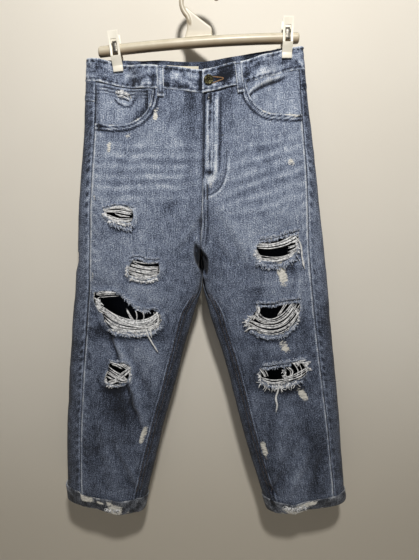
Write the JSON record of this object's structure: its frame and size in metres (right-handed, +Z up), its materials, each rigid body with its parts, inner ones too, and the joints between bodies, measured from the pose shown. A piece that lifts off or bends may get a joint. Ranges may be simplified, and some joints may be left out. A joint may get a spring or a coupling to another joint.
{
  "type": "ripped jeans on a clip hanger",
  "caption": "Washed denim jeans with worn-through rips and turned-up hems, hung by the waistband from two clips on a plastic trouser hanger.",
  "frame": {"origin": "inside of the hook's crown, at the middle of the rod, where the hanger rests on a rail", "axes": "+Z up along the hang of the garment, front of the jeans faces -Y, wearer's left is +X"},
  "size_m": [0.6152, 0.0709, 1.0647],
  "materials": {
    "washed_denim": "washed and faded twill, matte",
    "cotton_tape": "plain woven cotton tape, matte",
    "ivory_plastic": "moulded, low gloss",
    "spring_steel": "bright spring strip",
    "tarnished_brass": "tarnished, worn edges"
  },
  "bodies": {
    "root": {"back_panel_left": "washed_denim", "back_panel_right": "washed_denim", "back_pocket_left": "washed_denim", "back_pocket_right": "washed_denim", "back_yoke_left": "washed_denim", "back_yoke_right": "washed_denim", "belt_loop_back_centre": "washed_denim", "belt_loop_back_left": "washed_denim", "belt_loop_back_right": "washed_denim", "belt_loop_front_left": "washed_denim", "belt_loop_front_right": "washed_denim", "clip_front_left": "ivory_plastic", "clip_front_right": "ivory_plastic", "clip_rear_left": "ivory_plastic", "clip_rear_right": "ivory_plastic", "clip_spring_left": "spring_steel", "clip_spring_right": "spring_steel", "coin_pocket": "washed_denim", "coin_pocket_rivet": "tarnished_brass", "cuff_left": "washed_denim", "cuff_right": "washed_denim", "fly_shield": "washed_denim", "fly_zip": "cotton_tape", "front_panel_left": "washed_denim", "front_panel_right": "washed_denim", "hanger_frame": "ivory_plastic", "inner_label": "cotton_tape", "pocket_facing_left": "washed_denim", "pocket_facing_right": "washed_denim", "waist_button": "tarnished_brass", "waistband": "washed_denim"}
  },
  "joints": []
}
